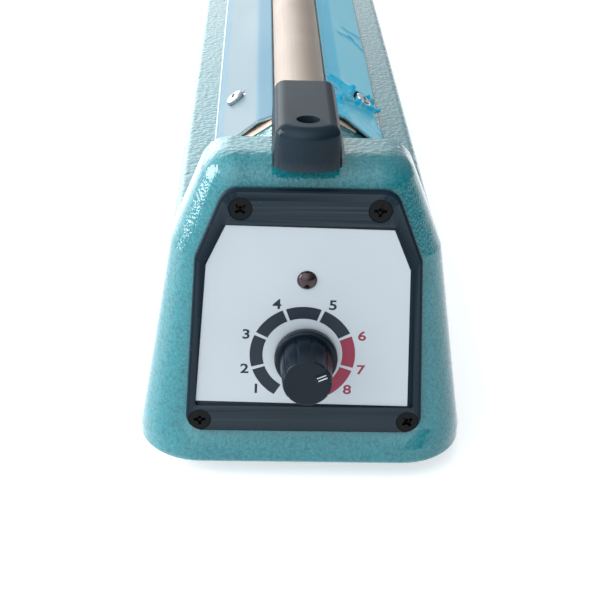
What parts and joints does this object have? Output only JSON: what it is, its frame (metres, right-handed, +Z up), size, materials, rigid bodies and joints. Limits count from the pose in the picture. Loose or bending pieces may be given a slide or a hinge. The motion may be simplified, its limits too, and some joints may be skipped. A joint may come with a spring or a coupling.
{
  "type": "impulse heat sealer",
  "caption": "Long hand impulse sealer: a cast body with a raised control end, a sloped sealing bed under a hinged pressure arm, and a round timer dial.",
  "frame": {"origin": "bottom centre of the machine, on the table under its rubber feet", "axes": "+Z up, +Y from the operator's control end towards the arm's hinge, +X to the operator's right"},
  "size_m": [0.086, 0.5488, 0.0976],
  "materials": {
    "hammertone_paint": "gloss hammered enamel",
    "zinc_sheet": "zinc plated",
    "foot_rubber": "matt",
    "bright_screw": "nickel plated",
    "spring_steel": "satin",
    "black_screw": "black oxide",
    "bezel_plastic": "fine grain",
    "label_print": "satin print",
    "led_red": "clear tinted",
    "knob_plastic": "satin",
    "white_paint": "matt",
    "grey_metal": "satin",
    "board_green": "satin",
    "brass_parts": "turned",
    "component_black": "matt",
    "resistor_tan": "lacquered",
    "plunger_red": "gloss",
    "cast_aluminium": "as cast",
    "core_steel": "varnished laminations",
    "bobbin_nylon": "natural",
    "copper_winding": "enamelled",
    "fuse_glass": "clear",
    "phenolic": "satin",
    "nichrome": "rolled",
    "ptfe_cloth": "coated glass weave",
    "plate_aluminium": "satin anodised",
    "film_blue": "thin clear blue film",
    "arm_anodised": "champagne anodised",
    "silicone": "matt",
    "handle_plastic": "satin"
  },
  "bodies": {
    "base": {"bezel_screws": "black_screw", "board_posts": "brass_parts", "control_bezel": "bezel_plastic", "control_label": "label_print", "cord_grommet": "foot_rubber", "element_bases": "phenolic", "element_screws": "bright_screw", "element_strip": "phenolic", "film_left": "film_blue", "film_right": "film_blue", "floor_plate": "zinc_sheet", "foot_screws": "bright_screw", "front_electrode": "brass_parts", "fuse": "fuse_glass", "fuse_holder": "component_black", "heat_sink": "cast_aluminium", "heating_band": "nichrome", "hinge_bracket": "zinc_sheet", "hinge_clips": "bright_screw", "hinge_pin": "bright_screw", "hinge_screws": "bright_screw", "led_clip": "bezel_plastic", "led_lens": "led_red", "main_casting": "hammertone_paint", "microswitch": "component_black", "pot_nut": "bright_screw", "potentiometer": "grey_metal", "release_cloth": "ptfe_cloth", "resistors": "resistor_tan", "return_spring": "spring_steel", "rubber_feet": "foot_rubber", "side_plate_left": "plate_aluminium", "side_plate_right": "plate_aluminium", "side_plate_screws": "bright_screw", "switch_bolts": "bright_screw", "switch_hanger": "zinc_sheet", "tension_spring": "spring_steel", "terminal_block": "board_green", "timer_board": "board_green", "timer_chip": "component_black", "timing_capacitor": "component_black", "transformer_bobbin": "bobbin_nylon", "transformer_coil": "copper_winding", "transformer_core": "core_steel", "transformer_screws": "bright_screw", "transformer_strap": "zinc_sheet", "triac": "component_black"},
    "arm": {"arm_channel": "arm_anodised", "arm_nose": "cast_aluminium", "arm_screws": "bright_screw", "arm_tail": "cast_aluminium", "handle": "handle_plastic", "handle_screw": "bright_screw", "silicone_strip": "silicone"},
    "dial": {"knob": "knob_plastic", "knob_mark": "white_paint", "pot_shaft": "bright_screw"},
    "plunger": {"switch_plunger": "plunger_red"},
    "tensioner": {"rear_electrode": "brass_parts"}
  },
  "joints": [
    {"name": "arm_hinge", "type": "hinge", "parent": "base", "child": "arm", "pos_m": [0, 0.25, 0.081], "axis": [-1, 0, 0], "range_deg": [0, 30], "stiffness_Nm_per_rad": 0.2, "springref_deg": 29.79},
    {"name": "dial_turn", "type": "hinge", "parent": "base", "child": "dial", "pos_m": [0.0004, -0.259, 0.036], "axis": [0, -0.9992, 0.0401], "range_deg": [-84.3, 215.7]},
    {"name": "plunger_press", "type": "slide", "parent": "base", "child": "plunger", "axis": [0, 0, 1], "range_m": [-0.0012, 0], "stiffness_N_per_m": 1000},
    {"name": "wire_tension", "type": "slide", "parent": "base", "child": "tensioner", "axis": [0, 1, 0], "range_m": [0, 0.002], "stiffness_N_per_m": 500}
  ]
}
